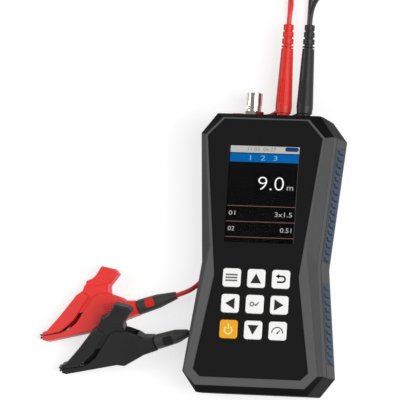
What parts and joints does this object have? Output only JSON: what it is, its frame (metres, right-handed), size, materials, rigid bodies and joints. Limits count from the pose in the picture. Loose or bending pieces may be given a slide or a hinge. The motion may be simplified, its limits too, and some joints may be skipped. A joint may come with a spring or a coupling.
{
  "type": "cable length counter",
  "caption": "Hand-held cable length counter: waisted case with colour screen, push keys, coaxial socket and plugged-in test leads with crocodile clips.",
  "frame": {"origin": "centre of the flat back of the case, which lies on the table", "axes": "+X across the case to its right as the screen is read, +Y along the case towards the connectors, +Z out of the face"},
  "size_m": [0.197, 0.2824, 0.0323],
  "materials": {
    "case_plastic": "fine moulded texture, dark grey",
    "grip_rubber": "soft blue-grey pads with ribs",
    "face_plastic": "smooth near-black plate",
    "window_glass": "clear flush pane",
    "display_screen": "colour display, lit",
    "key_plastic": "white with dark symbols",
    "power_key_plastic": "amber with a pale symbol",
    "mat_rubber": "grey silicone",
    "board": "green solder mask",
    "steel": "plain",
    "cell_wrap": "plain film wrap",
    "nickel": "nickel plate",
    "insulator_plastic": "off-white",
    "contact_brass": "plain",
    "red_socket_plastic": "red",
    "black_socket_plastic": "black",
    "red_plug_plastic": "red",
    "black_plug_plastic": "black",
    "red_lead_pvc": "red",
    "black_lead_pvc": "black",
    "red_clip_plastic": "red",
    "black_clip_plastic": "black",
    "clip_plug_plastic": "dark grey",
    "red_window_plastic": "red insert",
    "black_window_plastic": "black insert"
  },
  "bodies": {
    "meter": {"front_shell": "case_plastic", "rear_shell": "case_plastic", "grip_left_upper": "grip_rubber", "grip_left_lower": "grip_rubber", "grip_right_upper": "grip_rubber", "grip_right_lower": "grip_rubber", "face_panel": "face_plastic", "display_window": "window_glass", "display_module": "display_screen", "key_mat": "mat_rubber", "main_board": "board", "board_screws": "steel", "case_screws": "steel", "charge_port": "steel", "battery": "cell_wrap", "coax_body": "nickel", "coax_nut": "nickel", "coax_insulator": "insulator_plastic", "coax_contact": "contact_brass", "red_socket": "red_socket_plastic", "red_socket_sleeve": "nickel", "red_plug_pin": "nickel", "red_plug_handle": "red_plug_plastic", "red_plug_boot": "red_plug_plastic", "red_lead_front": "red_lead_pvc", "red_lead_coil": "red_lead_pvc", "red_lead_rear": "red_lead_pvc", "red_clip_body": "red_clip_plastic", "red_clip_lower_jaw": "steel", "red_clip_pin": "steel", "red_clip_spring": "steel", "red_clip_plug": "clip_plug_plastic", "red_clip_plug_window": "red_window_plastic", "black_socket": "black_socket_plastic", "black_socket_sleeve": "nickel", "black_plug_pin": "nickel", "black_plug_handle": "black_plug_plastic", "black_plug_boot": "black_plug_plastic", "black_lead_front": "black_lead_pvc", "black_lead_coil": "black_lead_pvc", "black_lead_rear": "black_lead_pvc", "black_clip_body": "black_clip_plastic", "black_clip_lower_jaw": "steel", "black_clip_pin": "steel", "black_clip_spring": "steel", "black_clip_plug": "clip_plug_plastic", "black_clip_plug_window": "black_window_plastic"},
    "key_menu": {"key_menu": "key_plastic"},
    "key_up": {"key_up": "key_plastic"},
    "key_back": {"key_back": "key_plastic"},
    "key_left": {"key_left": "key_plastic"},
    "key_enter": {"key_enter": "key_plastic"},
    "key_right": {"key_right": "key_plastic"},
    "key_power": {"key_power": "power_key_plastic"},
    "key_down": {"key_down": "key_plastic"},
    "key_gauge": {"key_gauge": "key_plastic"},
    "red_clip_lever": {"red_clip_lever": "red_clip_plastic", "red_clip_upper_jaw": "steel"},
    "black_clip_lever": {"black_clip_lever": "black_clip_plastic", "black_clip_upper_jaw": "steel"}
  },
  "joints": [
    {"name": "key_menu_press", "type": "slide", "parent": "meter", "child": "key_menu", "axis": [0, 0, -1], "range_m": [0, 0.0008], "stiffness_N_per_m": 1500},
    {"name": "key_up_press", "type": "slide", "parent": "meter", "child": "key_up", "axis": [0, 0, -1], "range_m": [0, 0.0008], "stiffness_N_per_m": 1500},
    {"name": "key_back_press", "type": "slide", "parent": "meter", "child": "key_back", "axis": [0, 0, -1], "range_m": [0, 0.0008], "stiffness_N_per_m": 1500},
    {"name": "key_left_press", "type": "slide", "parent": "meter", "child": "key_left", "axis": [0, 0, -1], "range_m": [0, 0.0008], "stiffness_N_per_m": 1500},
    {"name": "key_enter_press", "type": "slide", "parent": "meter", "child": "key_enter", "axis": [0, 0, -1], "range_m": [0, 0.0008], "stiffness_N_per_m": 1500},
    {"name": "key_right_press", "type": "slide", "parent": "meter", "child": "key_right", "axis": [0, 0, -1], "range_m": [0, 0.0008], "stiffness_N_per_m": 1500},
    {"name": "key_power_press", "type": "slide", "parent": "meter", "child": "key_power", "axis": [0, 0, -1], "range_m": [0, 0.0008], "stiffness_N_per_m": 1500},
    {"name": "key_down_press", "type": "slide", "parent": "meter", "child": "key_down", "axis": [0, 0, -1], "range_m": [0, 0.0008], "stiffness_N_per_m": 1500},
    {"name": "key_gauge_press", "type": "slide", "parent": "meter", "child": "key_gauge", "axis": [0, 0, -1], "range_m": [0, 0.0008], "stiffness_N_per_m": 1500},
    {"name": "red_clip_opening", "type": "hinge", "parent": "meter", "child": "red_clip_lever", "pos_m": [-0.10615, -0.03065, 0.005], "axis": [0, 0, -1], "range_deg": [0, 24], "stiffness_Nm_per_rad": 0.3, "springref_deg": -14.32},
    {"name": "black_clip_opening", "type": "hinge", "parent": "meter", "child": "black_clip_lever", "pos_m": [-0.09188, -0.05117, 0.01261], "axis": [-0.0757, 0.4476, -0.891], "range_deg": [0, 24], "stiffness_Nm_per_rad": 0.3, "springref_deg": -14.32}
  ]
}
